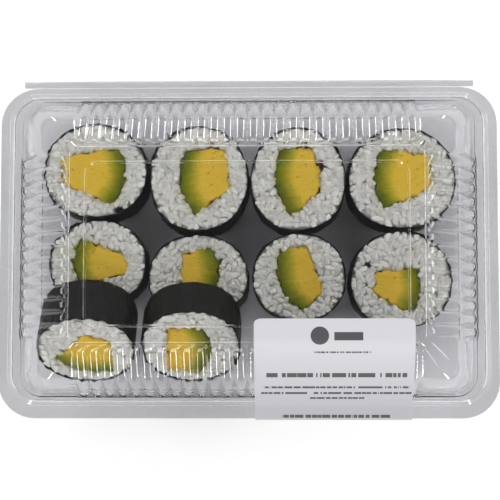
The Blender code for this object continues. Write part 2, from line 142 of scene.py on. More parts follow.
# The label's lower face as (y, z) from its top edge to its folded end
LABEL_PATH = [
    (-26.0, 45.0), (-34.45, 45.0), (-38.27, 42.88), (-48.74, 35.45),
    (-56.4, 26.55), (-62.3, 24.75), (-62.8, 24.2), (-62.8, 20.6),
]
LABEL_LEFT = 2.6
LABEL_WIDTH = 58.2
LABEL_CORNER = 2.2
LABEL_BEND = 2.2
# Its printed bars as (middle, half length, line, half height, gaps, gap scale), and its disc as (x, y, radius^2)
LABEL_BARS = [
    (32.0, 10.2, 12.6, 0.35, 0.43, 1.6), (30.0, 25.6, 22.6, 0.95, 0.40, 0.7),
    (30.0, 26.6, 28.6, 0.55, 0.42, 0.9), (30.0, 27.6, 31.8, 0.55, 0.42, 0.9), (30.4, 10.0, 34.6, 0.5, 0.42, 0.9),
    (30.0, 20.0, 42.4, 0.6, 0.42, 0.9), (34.2, 5.2, 6.4, 1.5, 0.0, 1.0),
]
LABEL_DISC = (23.8, 6.2, 11.0)

# The direction of each avocado slice's green side, in degrees, and the angle at which two rolls lean back
GREEN_TURNS = (-7, 188, 190, 182, 180, -4, 202, -8, 252, -4)
LEAN_ANGLES = {9: 48.0, 10: 45.0}

# Holes in the rice beside the slices and yellow-green smudges on it, as roll number: places of (x, y, radius)
HOLES = {
    1: ((-49.3, 16.0, 1.8),),
    2: ((-14.7, 40.2, 1.2), (-11.7, 39.8, 1.2), (-25.0, 29.0, 1.0)),
    3: ((27.3, 32.0, 2.1), (19.2, 40.2, 1.2), (22.6, 40.2, 1.3), (10.8, 25.4, 1.1)),
    6: ((-10.5, -4.2, 1.2),),
    8: ((45.2, -5.5, 1.7), (44.4, -12.7, 1.0)),
}
SMUDGES = {
    2: ((-27.3, 21.7, 1.6),),
    4: ((49.1, 15.0, 1.8),),
    5: ((-70.4, 0.5, 3.2), (-69.5, -5.0, 2.4)),
    6: ((-14.3, 3.1, 2.0),),
    7: ((25.5, 1.0, 1.8),),
    8: ((61.8, -1.0, 2.2),),
}
# Share of the true distance from its outline that a slice's browning sees: less means more browned
BROWN_REACH = {3: 0.7, 10: 0.3}

# Softboxes: name, azimuth from +X, elevation, size in metres and share of the power
LIGHT_DISTANCE = 1.0
SOFTBOXES = [
    ("box_left", 180, 36, (0.8, 0.4), 1.3),
    ("box_right", 0, 36, (0.8, 0.4), 1.3),
    ("box_back", 90, 38, (0.8, 0.4), 1.1),
    ("box_front", 270, 38, (0.8, 0.4), 1.0),
    ("low_back_left", 115, 6, (0.05, 0.16), 0.22),
    ("low_back_right", 65, 6, (0.05, 0.16), 0.22),
    ("low_front_left", 243, 11, (0.07, 0.3), 0.34),
    ("low_front_right", 297, 11, (0.07, 0.3), 0.34),
]

Roll = namedtuple("Roll", "number turn centre rim foot bottom top slice_top slice_foot green_turn")


def linear(red, green, blue):
    """An sRGB colour of 0 to 255 as linear values, with an alpha of one."""
    scaled = np.array((red, green, blue)) / 255
    low, high = scaled / 12.92, ((scaled + 0.055) / 1.055) ** 2.4
    return (*np.where(scaled <= 0.04045, low, high).tolist(), 1.0)


def colour_property(name, description, colour):
    """A colour that the user can change, given in sRGB."""
    return bpy.props.FloatVectorProperty(
        name=name, description=description, default=linear(*colour)[:3], min=0.0, max=1.0, size=3, subtype="COLOR"
    )


def length_property(name, description, millimetres):
    """A length that the user can change."""
    return bpy.props.FloatProperty(
        name=name, description=description, default=millimetres * MM, min=0.0, precision=5, unit="LENGTH"
    )


class SushiPackSettings(bpy.types.PropertyGroup):
    """Sizes and colours of the clear pack and its label."""

    lid_rib_depth: length_property("Lid rib depth", "How far the lid's ribs stand out", 0.93)
    tray_rib_depth: length_property("Tray rib depth", "How far the tray's ribs stand out", 0.55)
    rib_width: length_property("Rib width", "Width of a rib at its foot", 4.3)
    plastic_tint: colour_property("Plastic tint", "Tint of the clear sheet", (226, 226, 228))
    paper: colour_property("Paper", "Colour of the label paper", (208, 208, 213))
    ink: colour_property("Ink", "Colour of the printed bars", (38, 38, 42))


class SushiFoodSettings(bpy.types.PropertyGroup):
    """Sizes and colours of the rolls."""

    grain_length: length_property("Grain length", "Length of a cooked rice grain", 4.4)
    grain_width: length_property("Grain width", "Width of a cooked rice grain", 2.35)
    grain_spacing: length_property("Grain spacing", "Distance between neighbouring grains", 1.95)
    rice: colour_property("Rice", "Colour of the rice", (210, 209, 201))
    nori: colour_property("Seaweed", "Colour of the seaweed wrap", (13, 14, 12))
    avocado_yellow: colour_property("Avocado yellow", "Colour inside the slice", (190, 157, 40))
    avocado_green: colour_property("Avocado green", "Colour near the slice's skin side", (86, 93, 2))


class SushiStageSettings(bpy.types.PropertyGroup):
    """Light and camera of the stage."""

    camera_distance: bpy.props.FloatProperty(
        name="Camera height", description="Height of the camera over the floor", default=0.6123, min=0.2, unit="LENGTH"
    )
    lens: bpy.props.FloatProperty(
        name="Lens", description="Focal length of the camera", default=113.4, min=20.0, unit="CAMERA"
    )
    softbox_strength: bpy.props.FloatProperty(
        name="Softbox power", description="Power of each side softbox", default=3.8, min=0.0, unit="POWER"
    )


# Meshes


def new_piece(name, vertices, faces, material):
    """An object at the origin from points in millimetres and faces of any size, pointing outwards."""
    mesh = bpy.data.meshes.new(name)
    mesh.from_pydata((np.asarray(vertices) * MM).tolist(), [], faces)
    mesh.materials.append(material)
    mesh.shade_smooth()
    mesh.validate()
    mesh.update()
    if enclosed_volume(mesh) < 0:
        mesh.flip_normals()
    piece = bpy.data.objects.new(name, mesh)
    bpy.context.scene.collection.objects.link(piece)
    return piece


def enclosed_volume(mesh):
    """Six times the volume inside a closed mesh: the sum over its triangles of a dot (b cross c)."""
    mesh.calc_loop_triangles()
    corners = np.empty(len(mesh.loop_triangles) * 3, np.int32)
    mesh.loop_triangles.foreach_get("vertices", corners)
    points = np.empty(len(mesh.vertices) * 3, np.float32)
    mesh.vertices.foreach_get("co", points)
    a, b, c = points.reshape(-1, 3)[corners].reshape(-1, 3, 3).astype(float).transpose(1, 0, 2)
    return float((a * np.cross(b, c)).sum())


def grid_faces(rows, columns, closed_rows=False, closed_columns=True, first=0):
    """Quads over a grid of points, row by row, closed round either way if asked."""
    row = np.arange(rows if closed_rows else rows - 1)
    column = np.arange(columns if closed_columns else columns - 1)
    a, b = np.meshgrid(row, column, indexing="ij")
    c, d = (a + 1) % rows, (b + 1) % columns
    quads = np.stack((a * columns + b, a * columns + d, c * columns + d, c * columns + b), axis=-1)
    return (quads.reshape(-1, 4) + first).tolist()


def add_attribute(piece, name, values):
    """A number for each point of a piece, for its material to read."""
    attribute = piece.data.attributes.new(name, "FLOAT", "POINT")
    attribute.data.foreach_set("value", np.asarray(values, np.float32).ravel())


def waves(rng, u, v, count, lowest, highest, v_scale=1.0):
    """A smooth random field between about -1 and 1: a sum of sines that are whole in u, with u in turns."""
    field = np.zeros(np.broadcast(u, v).shape)
    for _ in range(count):
        whole = rng.integers(lowest, highest + 1)
        phase, slope = rng.uniform(0, TAU), rng.normal(0, v_scale)
        field += np.sin(TAU * whole * u + slope * v + phase)
    return field / math.sqrt(count)


def run_length(points):
    """Distance along a line of points, from its first."""
    return np.concatenate(([0.0], np.cumsum(np.linalg.norm(np.diff(points, axis=0), axis=1))))


def resampled(points, along, stops):
    """A line's points at given distances along it."""
    return np.stack([np.interp(stops, along, column) for column in points.T], axis=1)


def curved_bends(points, bends, most, count, measured=slice(None)):
    """A line with its bends rounded by quadratic curves of count points. A curve starts and ends its bend's own
    distance away, or at the share most of the way to the next point; measured picks the columns for distance."""
    out = [points[0]]
    for before, at, after, bend in zip(points, points[1:], points[2:], bends):
        steps = before - at, after - at
        start, end = (at + step * min(bend / np.linalg.norm(step[measured]), most) for step in steps)
        out += [(1 - t) ** 2 * start + 2 * t * (1 - t) * at + t * t * end for t in np.linspace(0, 1, count)]
    out.append(points[-1])
    return np.array(out)


# Clear sheet


def path_length(rows):
    """Distance along a section, from its outer edge."""
    steps = np.diff(rows, axis=0)
    return np.concatenate(([0.0], np.cumsum(np.hypot(steps[:, :2].mean(axis=1), steps[:, 2]))))


def sampled_rows(table, first, last, foot):
    """Rows of a section with the ribs' weight on each. Ribs run from the table's first bend to its last; their
    ends are quarter rounds, and with foot set the first end stands on the ledge and flares out instead."""
    table = np.array(table)
    rows = curved_bends(table[:, :4], table[1:-1, 4], 0.45, BEND_POINTS, [0, 2])
    along = path_length(rows)
    bend_start = [along[BEND_POINTS * (bend - 1) + 1] for bend in range(1, len(table) - 1)]
    bend_middle = [along[BEND_POINTS * (bend - 1) + 3] for bend in range(1, len(table) - 1)]
    start = (bend_start if foot else bend_middle)[first - 1]
    end = bend_middle[last - 1] + RIB_OVERRUN
    quarter = RIB_RAMP * (1 - np.cos(np.linspace(0, math.pi / 2, 6)))
    inside = np.arange(start + RIB_RAMP, end - RIB_RAMP, ROW_STEP)
    stops = np.concatenate((along, start + quarter, end - quarter, inside))
    stops = np.unique(np.round(stops, 4))
    stops = stops[np.concatenate(([True], np.diff(stops) > LEAST_ROW_STEP))]
    rise, fall = (np.clip(run / RIB_RAMP, 0, 1) for run in (stops - start, end - stops))
    if foot:
        up_wall = np.clip((stops - start) / (bend_middle[first + 1] - start), 0, 1)
        rise = np.where(stops >= start, 1.0 + FOOT_FLARE * (1 - up_wall), 0.0)
    else:
        rise = np.sqrt(1 - (1 - rise) ** 2)
    return resampled(rows, along, stops), rise * np.sqrt(1 - (1 - fall) ** 2)


def rib_profile(run, count, width):
    """A rib's height across it, from 0 at its foot to 1 at its crest: (1 - x^2)^0.75, repeated at the pitch."""
    place = run / RIB_PITCH + (count - 1) / 2
    near = np.clip(np.round(place), 0, count - 1)
    across = np.abs(place - near) * RIB_PITCH / (width / 2)
    return np.clip(1 - across**2, 0, None) ** 0.75


def side_samples(count):
    """Places along a side at which every row has a point, the same number for each rib."""
    half = count * RIB_PITCH / 2
    return np.linspace(-half, half, count * RIB_POINTS + 1)


def sheet_surface(rows, weight, depth, width, up):
    """The inner face of the sheet as a grid: rounded rectangles, one for each row of the section, with ribs
    pushed out along the wall's normal by depth times the row's weight times the rib profile."""
    half_x, half_y = FLANGE_HALF_X - rows[:, 0], FLANGE_HALF_Y - rows[:, 1]
    corner, height = rows[:, 3], rows[:, 2]
    tangent = np.gradient(rows[:, [0, 2]], axis=0)
    tangent /= np.linalg.norm(tangent, axis=1, keepdims=True) + 1e-9
    normal = np.stack((-tangent[:, 1], tangent[:, 0]), axis=1)
    normal *= np.where(normal[:, :1] > 0, -1, 1)
    flat = np.abs(normal[:, 0]) < FLAT_NORMAL
    push_out, push_up = np.where(flat, 1.0, -normal[:, 0]), np.where(flat, 0.0, normal[:, 1])
    arcs = np.radians(np.linspace(0, 90, CORNER_POINTS))
    pieces = []
    for k, (sign_x, sign_y) in enumerate(((1, -1), (1, 1), (-1, 1), (-1, -1))):
        turn = arcs + math.radians(90 * (k - 1))
        centre_x, centre_y = sign_x * (half_x - corner), sign_y * (half_y - corner)
        x = centre_x[:, None] + corner[:, None] * np.cos(turn)
        y = centre_y[:, None] + corner[:, None] * np.sin(turn)
        pieces.append(np.stack((x, y, np.broadcast_to(height[:, None], x.shape)), axis=-1))
        count = RIBS_ALONG_Y if k in (0, 2) else RIBS_ALONG_X
        run = side_samples(count)
        profile = rib_profile(run, count, width)
        travel = 1 if k in (0, 3) else -1
        reach = (half_y if k in (0, 2) else half_x) - corner
        ribbed = run * np.minimum(1.0, 0.995 * reach / run[-1])[:, None]
        edge = ribbed[:, -1:] + (reach[:, None] - ribbed[:, -1:]) * np.array((0.7, 0.35))
        places = np.concatenate((-edge, ribbed, edge[:, ::-1]), axis=1)
        bump = np.concatenate(([0, 0], profile, [0, 0]))[None, :] * weight[:, None] * depth
        outward = bump * push_out[:, None]
        z = height[:, None] + bump * push_up[:, None]
        if k in (0, 2):
            side = np.stack((travel * (half_x[:, None] + outward), travel * places, z), axis=-1)
        else:
            side = np.stack((travel * places, -travel * (half_y[:, None] + outward), z), axis=-1)
        pieces.append(side)
    grid = np.concatenate(pieces, axis=1)
    grid[..., 1] += PLAN_SHIFT_Y + HOLLOW_SHIFT * np.clip(rows[:, 1] / 3, 0, 1)[:, None]
    normals = grid_normals(grid)
    if (normals[0, :, 2].mean() > 0) != up:
        normals = -normals
    return grid, normals


def unit(vectors):
    """Vectors at length one."""
    return vectors / (np.linalg.norm(vectors, axis=-1, keepdims=True) + 1e-12)


def grid_normals(grid):
    """Unit normals of a grid that is closed round its columns: the cross product of its two directions, each
    the mean of the unit steps before and after a point."""
    along = unit(np.roll(grid, -1, axis=1) - grid) + unit(grid - np.roll(grid, 1, axis=1))
    step = unit(np.diff(grid, axis=0))
    down = np.concatenate((step[:1], step[1:] + step[:-1], step[-1:]))
    return unit(np.cross(along, down))


def make_sheet(name, table, first, last, foot, up, depth, material):
    """A thermoformed sheet: its inner and outer skins, the cut edge between them and its two flat middles."""
    settings = bpy.context.scene.sushi_pack
    rows, weight = sampled_rows(table, first, last, foot)
    grid, normals = sheet_surface(rows, weight, depth / MM, settings.rib_width / MM, up)
    inner, outer = grid + normals * SHEET_INNER, grid + normals * SHEET_OUTER
    count, around = grid.shape[:2]
    vertices = np.concatenate((inner[::-1].reshape(-1, 3), outer.reshape(-1, 3)))
    piece = new_piece(name, vertices, tube_faces(2 * count, around), material)
    piece.data.set_sharp_from_angle(angle=SHARP_ANGLE)
    return piece


def tube_faces(rows, columns):
    """Quads of a tube of closed rings with a flat end on both of its ends."""
    return grid_faces(rows, columns) + [list(range(columns))[::-1], list(range((rows - 1) * columns, rows * columns))]


def ribbon(path, low, high, widths, columns):
    """A thin strip that follows a path of (y, z): closed rings across it, one for each point of the path.
    The faces are set off from the path along its normal by low and high; widths gives its two edges."""
    path = np.asarray(path, float)
    run = np.gradient(path, axis=0)
    run /= np.linalg.norm(run, axis=1, keepdims=True)
    normal = np.stack((run[:, 1], -run[:, 0]), axis=1)
    share = np.linspace(0, 1, columns)
    x = widths[0][:, None] * (1 - share) + widths[1][:, None] * share
    faces = []
    for offset, places in ((low, x), (high, x[:, ::-1])):
        moved = path + normal * offset
        yz = np.broadcast_to(moved[:, None, :], (*x.shape, 2))
        faces.append(np.concatenate((places[..., None], yz), axis=-1))
    return np.concatenate(faces, axis=1)


def bent_path(corners, bend, spacing):
    """A path with every bend rounded, resampled at an even spacing, and the distance of its points along it."""
    corners = np.asarray(corners, float)
    points = curved_bends(corners, [bend] * (len(corners) - 2), 0.48, 9)
    along = run_length(points)
    stops = np.linspace(0, along[-1], int(along[-1] / spacing) + 2)
    return resampled(points, along, stops), stops


# Rolls


def node_points(node):
    """A CAD node's points in millimetres, each once."""
    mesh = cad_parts[node].data
    points = np.empty(len(mesh.vertices) * 3, np.float32)
    mesh.vertices.foreach_get("co", points)
    return np.unique(np.round(points.reshape(-1, 3).astype(float) / MM, 3), axis=0)


def smooth_loop(points, softness):
    """A closed outline through a polygon, with its corners softened: the polygon sampled evenly and then
    blurred round its length by a Gaussian whose width is the softness."""
    closed = np.concatenate((points, points[:1]))
    along = run_length(closed)
    even = resampled(closed, along, np.linspace(0, along[-1], OUTLINE_POINTS, endpoint=False))
    frequency = np.fft.fftfreq(OUTLINE_POINTS, along[-1] / OUTLINE_POINTS)
    blur = np.exp(-2 * (math.pi * frequency * softness) ** 2)[:, None]
    return np.fft.ifft(np.fft.fft(even, axis=0) * blur, axis=0).real


def radius_at(loop, centre, turns):
    """How far an outline is from its centre in each direction."""
    apart = loop - centre
    angle = np.arctan2(apart[:, 1], apart[:, 0])
    order = np.argsort(angle)
    return np.interp(turns, angle[order], np.linalg.norm(apart, axis=1)[order], period=TAU)


def outline_at(points, level):
    """The points of a piece at one level, in plan and in order round their middle."""
    flat = points[np.abs(points[:, 2] - level) < 0.05][:, :2]
    return flat[np.argsort(np.arctan2(*(flat - flat.mean(axis=0)).T[::-1]))]


def wrap_outline(points, level):
    """The outer outline of a wrap at one level: of each pair of rim points, the one further out."""
    rim = outline_at(points, level)
    middle = rim.mean(axis=0)
    angle = np.arctan2(*(rim - middle).T[::-1])
    gap = np.diff(np.concatenate((angle, angle[:1] + TAU)))
    pairs = np.roll(rim, -(np.argmax(gap) + 1), axis=0).reshape(-1, 2, 2)
    further = np.linalg.norm(pairs - middle, axis=2).argmax(axis=1)
    return pairs[np.arange(len(pairs)), further]


def read_roll(number):
    """A roll's frame and outlines, from its CAD nodes turned back by the angle at which it leans."""
    turn = np.array(Matrix.Rotation(math.radians(LEAN_ANGLES.get(number, 0.0)), 3, "X"))
    wrap, flesh = (node_points(f"roll_{number:02d}_{layer}") @ turn for layer in ("nori", "avocado"))
    bottom, top = wrap[:, 2].min(), wrap[:, 2].max()
    rim, foot = (smooth_loop(wrap_outline(wrap, level), WRAP_SOFTNESS) for level in (top, bottom))
    slice_top, slice_foot = (outline_at(flesh, level) for level in (flesh[:, 2].max(), flesh[:, 2].min()))
    return Roll(number, turn, rim.mean(axis=0), rim, foot, bottom, top, slice_top, slice_foot, GREEN_TURNS[number - 1])


ROLLS = [read_roll(number) for number in range(1, 11)]


def blended_outline(low, high, turns, share):
    """Points of an outline at a share of the way from a lower loop to an upper one, in given directions."""
    centres = low.mean(axis=0), high.mean(axis=0)
    radii = radius_at(low, centres[0], turns), radius_at(high, centres[1], turns)
    centre = centres[0] * (1 - share)[..., None] + centres[1] * share[..., None]
    radius = radii[0] * (1 - share) + radii[1] * share
    return centre, radius


def make_wrap(roll, material):
    """A seaweed wrap: a closed thin tube round the roll's outline. Its radius is the outline's plus fine
    waves and an overlap that ends in a step, and its rim rises and falls slightly."""
    rng = np.random.default_rng(100 + roll.number)
    around = 240
    turns = np.linspace(0, TAU, around, endpoint=False)
    outer_z = np.concatenate((np.linspace(0.0, 0.92, 16), (0.965, 0.985, 1.0)))
    inner_z = outer_z[::-1] * 0.98 + 0.01
    share = np.concatenate((outer_z, inner_z))[:, None] * np.ones(around)
    level = share * (roll.top - roll.bottom)
    inward = np.concatenate((np.zeros(len(outer_z)), np.full(len(inner_z), WRAP_THICKNESS)))[:, None]
    inward = np.where((share > 0.99) | (share < 0.01), 0.07 + inward * 0.7, inward)
    centre, radius = blended_outline(roll.foot, roll.rim, turns, share)
    u = turns[None, :] / TAU
    wrinkles = 0.14 * waves(rng, u, level, 10, 4, 26, 0.12) + 0.08 * waves(rng, u, level, 8, 20, 60, 0.3)
    past = (u - rng.uniform(0, 1)) % 1.0
    overlap = OVERLAP_STEP * np.clip(past / 0.008, 0, 1) * np.clip((0.14 - past) / 0.10, 0, 1)
    radius = radius + WRAP_GROWTH - inward + wrinkles + overlap * (inward < 0.2)
    rim_wave = 0.35 * waves(rng, u, 0 * share, 9, 2, 30) - 0.25
    z = roll.bottom + level + np.where(share > 0.9, (share - 0.9) * 10, 0) * rim_wave
    points = np.stack((radius * np.cos(turns), radius * np.sin(turns), z), axis=-1)
    points[..., :2] += centre
    world = points.reshape(-1, 3) @ roll.turn.T
    world[:, 2] = np.maximum(world[:, 2], FLOOR_TOP)
    faces = grid_faces(len(share), around, closed_rows=True)
    piece = new_piece(f"seaweed_wrap_{roll.number:02d}", world, faces, material)
    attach(piece, "tray")
    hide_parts(f"roll_{roll.number:02d}_nori")


def slice_loop(polygon):
    """An avocado slice's outline with softened corners."""
    return smooth_loop(polygon, SLICE_SOFTNESS)


def green_distance(points, roll):
    """Distance of points of the cut face from the slice's green side: to the nearest point along its edge. The
    edge leaves out the two corners that are furthest from the green side."""
    turn = math.radians(roll.green_turn)
    direction, across = np.array(((math.cos(turn), math.sin(turn)), (-math.sin(turn), math.cos(turn))))
    apart = roll.slice_top - roll.slice_top.mean(axis=0)
    edge = np.argsort(apart @ direction)[2:]
    edge = roll.slice_top[edge[np.argsort(apart[edge] @ across)]]
    fine = np.concatenate([np.linspace(a, b, 12) for a, b in zip(edge, edge[1:])])
    return np.linalg.norm(points[:, None, :] - fine[None, :, :], axis=2).min(axis=1)


def make_slice(roll, material):
    """An avocado slice: rings that shrink towards the middle of both cut faces and walls between them. Its
    outline wobbles and its faces are slightly uneven; green_mm, along_mm and edge_mm hold the distance from
    its green side, along that side and from its outline."""
    rng = np.random.default_rng(200 + roll.number)
    around = 144
    turns = np.linspace(0, TAU, around, endpoint=False)
    u = turns[None, :] / TAU
    rings = np.array((0.04, 0.12, 0.2, 0.28, 0.36, 0.44, 0.52, 0.6, 0.67, 0.74, 0.8, 0.86, 0.91, 0.95, 0.98, 1.0))
    levels = np.concatenate((np.zeros(len(rings)), np.linspace(0, 1, 10)[1:-1], np.ones(len(rings))))[:, None]
    scale = np.concatenate((rings, np.ones(8), rings[::-1]))[:, None]
    low, high = slice_loop(roll.slice_foot), slice_loop(roll.slice_top)
    centre, radius = blended_outline(low, high, turns, levels * np.ones(around))
    wobble = 0.46 * waves(rng, u, levels * 9, 7, 3, 12, 0.5) + 0.26 * waves(rng, u, levels * 9, 8, 12, 44, 0.8)
    radius = (radius - 0.05 + wobble * scale**3) * scale
    foot, head = roll.bottom + 0.6, roll.top - 0.55
    round_off = 0.45 * np.clip((scale - 0.9) / 0.1, 0, 1) ** 2
    x, y = radius * np.cos(turns) + centre[..., 0], radius * np.sin(turns) + centre[..., 1]
    swell = 0.22 * np.sin(0.45 * x + rng.uniform(0, TAU)) * np.sin(0.38 * y + rng.uniform(0, TAU))
    z = foot + (head - foot) * levels + (swell - round_off) * (2 * levels - 1) * (scale < 1.01)
    points = np.stack((x, y, z), axis=-1).reshape(-1, 3)
    lean = roll.slice_foot.mean(axis=0) - roll.slice_top.mean(axis=0)
    shift = lean * (1 - levels.repeat(around, axis=1)).reshape(-1, 1)
    green = green_distance(points[:, :2] - shift, roll)
    across = math.radians(roll.green_turn + 90)
    along = points[:, 0] * math.cos(across) + points[:, 1] * math.sin(across)
    faces = tube_faces(len(scale), around)
    piece = new_piece(f"avocado_slice_{roll.number:02d}", points @ roll.turn.T, faces, material)
    add_attribute(piece, "green_mm", green)
    add_attribute(piece, "along_mm", along)
    add_attribute(piece, "edge_mm", (1 - scale) * radius / np.maximum(scale, 0.01) * BROWN_REACH.get(roll.number, 1.0))
    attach(piece, "tray")
    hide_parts(f"roll_{roll.number:02d}_avocado")


def grain_template():
    """A rice grain on a unit ball of eight meridians and five rings: its points, quads and end triangles."""
    meridians, rings = 8, 5
    polar = np.linspace(0, math.pi, rings + 2)[1:-1, None]
    turn = np.linspace(0, TAU, meridians, endpoint=False)
    ring = np.stack(
        (np.cos(polar) * np.ones(meridians), np.sin(polar) * np.cos(turn), np.sin(polar) * np.sin(turn)), axis=-1
    ).reshape(-1, 3)
    points = np.concatenate((ring, ((1, 0, 0), (-1, 0, 0))))
    first, last, base = rings * meridians, rings * meridians + 1, (rings - 1) * meridians
    caps = [[first, (i + 1) % meridians, i] for i in range(meridians)]
    caps += [[last, base + i, base + (i + 1) % meridians] for i in range(meridians)]
    return points, grid_faces(rings, meridians), caps


def turn_matrices(yaw, pitch, roll_angle):
    """Rotations about Z, then Y, then X, one for each grain."""
    cz, sz, cy, sy, cx, sx = (f(a) for a in (yaw, pitch, roll_angle) for f in (np.cos, np.sin))
    matrices = np.empty((len(yaw), 3, 3))
    matrices[:, 0] = np.stack((cz * cy, cz * sy * sx - sz * cx, cz * sy * cx + sz * sx), axis=1)
    matrices[:, 1] = np.stack((sz * cy, sz * sy * sx + cz * cx, sz * sy * cx - cz * sx), axis=1)
    matrices[:, 2] = np.stack((-sy, cy * sx, cy * cx), axis=1)
    return matrices


def grain_places(rng, roll, spacing):
    """Places for grains between wrap and slice: a hexagonal lattice, each point moved at random."""
    reach = 26.0
    x, y = np.meshgrid(np.arange(-reach, reach, spacing), np.arange(-reach, reach, spacing * 0.87))
    x = x + (np.arange(x.shape[0]) % 2 * spacing / 2)[:, None]
    places = np.stack((x.ravel(), y.ravel()), axis=1)
    places += rng.uniform(-0.38, 0.38, places.shape) * spacing + rng.uniform(-1, 1, 2) + roll.centre
    from_rim = outside_loop(places, roll.rim)
    from_slice = outside_loop(places, slice_loop(roll.slice_top))
    return places[(from_rim < -GRAIN_RIM_GAP) & (from_slice > GRAIN_SLICE_GAP)]


def outside_loop(points, loop):
    """How far points are outside an outline, measured from its middle."""
    middle = loop.mean(axis=0)
    apart = points - middle
    return np.linalg.norm(apart, axis=1) - radius_at(loop, middle, np.arctan2(apart[:, 1], apart[:, 0]))


def held_within(points, loop, gap, inside):
    """Points moved along their ray from an outline's middle so that they stay on one side of it."""
    middle = loop.mean(axis=0)
    over = outside_loop(points, loop) - gap
    over = np.clip(over, 0, None) if inside else np.clip(over, None, 0)
    apart = points - middle
    length = np.linalg.norm(apart, axis=1)
    return middle + apart * ((length - over) / length)[:, None]


def closeness(points, spots):
    """How near points are to the nearest of some round spots: exp(-(distance / radius)^4), 0 with no spots."""
    nearest = np.zeros(points.shape[:-1])
    for x, y, radius in spots:
        apart = np.hypot(points[..., 0] - x, points[..., 1] - y) / radius
        nearest = np.maximum(nearest, np.exp(-(apart**4)))
    return nearest


def any_turns(rng, count, flatness):
    """Random rotations, one for each grain; flatness draws the grain's long axis towards the cut face."""
    pitch = np.arcsin(rng.uniform(-1, 1, count)) * flatness
    return turn_matrices(rng.uniform(0, TAU, count), pitch, rng.uniform(0, TAU, count))


def rice_core(rng, roll):
    """The ring of rice between wrap and slice that the grains lie on, sunk at the holes: points and faces."""
    around = 120
    turns = np.linspace(0, TAU, around, endpoint=False)
    section = [(0.02, 0), (0.02, 0.5), *((x, 1) for x in (0.02, 0.2, 0.4, 0.6, 0.75, 0.88, 0.98))]
    section += [(0.98, 0.5), (0.98, 0), (0.5, 0)]
    inwards, levels = np.array(section).T[:, :, None] * np.ones((2, 1, around))
    outer_centre, outer = blended_outline(roll.foot, roll.rim, turns, levels)
    inner_centre, inner = blended_outline(slice_loop(roll.slice_foot), slice_loop(roll.slice_top), turns, levels)
    ray = np.stack((np.cos(turns), np.sin(turns)), axis=-1)[None]
    outside = outer_centre + ray * (outer - CORE_INSET)[..., None]
    within = inner_centre + ray * (inner - CORE_INSET)[..., None]
    plan = outside * (1 - inwards)[..., None] + within * inwards[..., None]
    foot, head = roll.bottom + 1.4, roll.top - 1.35
    z = foot + (head - foot) * levels + 0.3 * waves(rng, turns / TAU, inwards * 3, 8, 3, 14) * (2 * levels - 1)
    z = z - HOLE_DEPTH * closeness(plan, HOLES.get(roll.number, ())) * (levels > 0.9)
    points = np.concatenate((plan, z[..., None]), axis=-1).reshape(-1, 3)
    return points, grid_faces(len(section), around, closed_rows=True)


def grain_layer(rng, roll, side, depth, spacing, half, template):
    """The points of one layer of grains at the upper (side 1) or lower (side -1) cut face. A grain is an
    ellipsoid bent by a parabola along its length, turned at random, cut off by the knife's plane and flattened
    against the wrap."""
    upper = side > 0
    level = roll.top if upper else roll.bottom
    rim, hole = (roll.rim, roll.slice_top) if upper else (roll.foot, roll.slice_foot)
    places = grain_places(rng, roll, spacing) + (rim.mean(axis=0) - roll.rim.mean(axis=0))
    if upper:
        places = places[closeness(places, HOLES.get(roll.number, ())) < 0.3]
    count = len(places)
    size = half * rng.uniform(0.85, 1.15, (count, 1)) * rng.uniform(0.92, 1.08, (count, 3))
    bend = template[None, :, :] * size[:, None, :]
    bend[..., 2] += 0.06 * bend[..., 0] ** 2 * rng.uniform(-1, 1, (count, 1))
    lift = level - side * (depth + rng.normal(0, 0.34, count))
    grains = np.einsum("nij,nkj->nki", any_turns(rng, count, 0.85), bend)
    grains += np.concatenate((places, lift[:, None]), axis=1)[:, None, :]
    cut = level - side * (0.45 + 0.30 * rng.uniform(-1, 1, (count, 1)))
    grains[..., 2] = np.minimum(grains[..., 2], cut) if upper else np.maximum(grains[..., 2], cut)
    grains = grains.reshape(-1, 3)
    grains[:, :2] = held_within(grains[:, :2], rim, -RIM_CLEARANCE, True)
    grains[:, :2] = held_within(grains[:, :2], slice_loop(hole), -SLICE_REACH, False)
    return grains


def make_rice(roll, material):
    """A roll's rice as one mesh: its core, and layers of grains at both of its cut faces. near_slice, depth_mm
    and tone hold how near a point is to the slice or a smudge, its depth and its grain's own brightness."""
    food = bpy.context.scene.sushi_food
    rng = np.random.default_rng(300 + roll.number)
    core, faces = rice_core(rng, roll)
    template, quads, caps = grain_template()
    half = np.array((food.grain_length, food.grain_width, food.grain_width * 0.9)) / MM / 2
    vertices, tones, used = [core], [np.full(len(core), 0.3)], len(core)
    for side in (1, -1):
        for depth, looser in GRAIN_LAYERS:
            grains = grain_layer(rng, roll, side, depth, food.grain_spacing / MM * looser, half, template)
            count = len(grains) // len(template)
            vertices.append(grains)
            tones.append(np.repeat(rng.uniform(0, 1, count), len(template)))
            starts = used + np.arange(count) * len(template)
            for shapes in (quads, caps):
                faces += (np.array(shapes)[None] + starts[:, None, None]).reshape(-1, len(shapes[0])).tolist()
            used += len(grains)
    points = np.concatenate(vertices)
    piece = new_piece(f"rice_{roll.number:02d}", points @ roll.turn.T, faces, material)
    edge = outside_loop(points[:, :2], slice_loop(roll.slice_top))
    smudge = closeness(points[:, :2], SMUDGES.get(roll.number, ()))
    add_attribute(piece, "near_slice", np.maximum(np.exp(-np.clip(edge, 0, None) / 1.1), 0.8 * smudge))
    # depth_mm: depth below the nearer cut face, which the rice material turns into painted shade between grains
    below = np.minimum(np.abs(roll.top - points[:, 2]), np.abs(roll.bottom - points[:, 2]))
    add_attribute(piece, "depth_mm", below)
    add_attribute(piece, "tone", np.concatenate(tones))
    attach(piece, "tray")
    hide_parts(f"roll_{roll.number:02d}_rice")


# Materials


